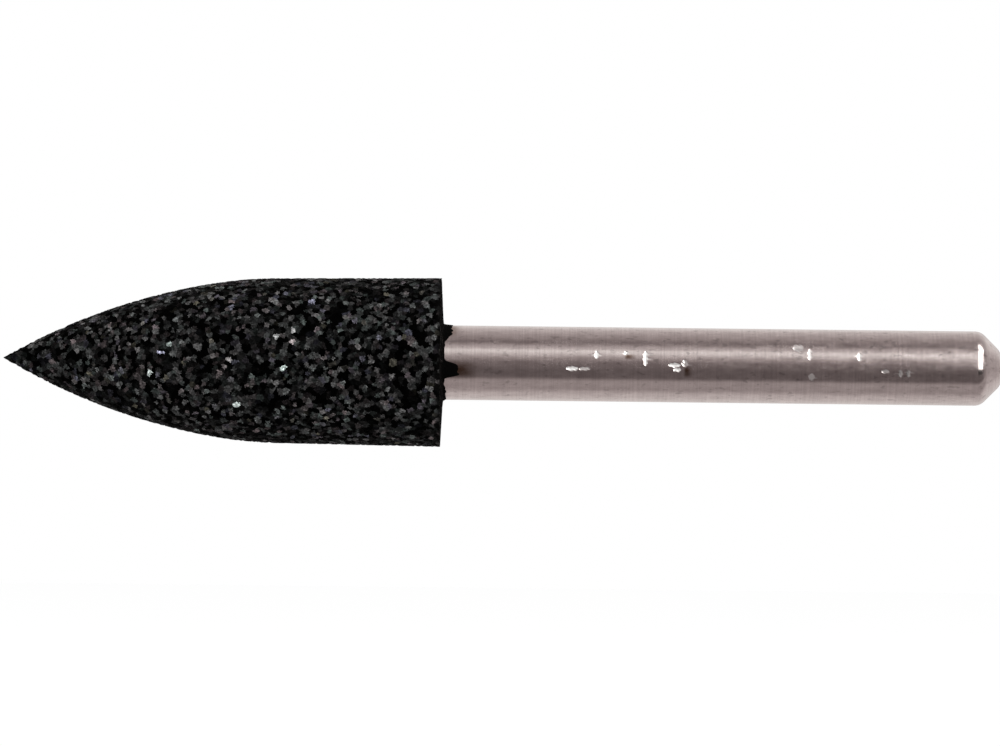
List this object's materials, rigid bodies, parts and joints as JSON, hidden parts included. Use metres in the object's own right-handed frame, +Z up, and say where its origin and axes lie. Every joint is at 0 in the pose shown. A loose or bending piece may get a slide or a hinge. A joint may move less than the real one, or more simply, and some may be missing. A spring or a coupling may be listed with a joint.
{
  "type": "dental polishing point",
  "caption": "Pointed bullet-shaped abrasive rubber head moulded on a plain round steel shank, for polishing teeth and fillings in a friction-grip handpiece.",
  "frame": {"origin": "on the axis of rotation, where the shank comes out of the head's back", "axes": "+X along the axis of rotation, out of the head's back towards the shank's free end; the head points to -X; Y and Z are alike, with +Z up as the picture shows it lying level"},
  "size_m": [0.0215, 0.0036, 0.0036],
  "materials": {
    "abrasive_rubber": "black rubber full of abrasive grain, matt and gritty",
    "ground_steel": "fine ground, satin to bright"
  },
  "bodies": {
    "root": {"abrasive_head": "abrasive_rubber", "shank": "ground_steel"}
  },
  "joints": []
}
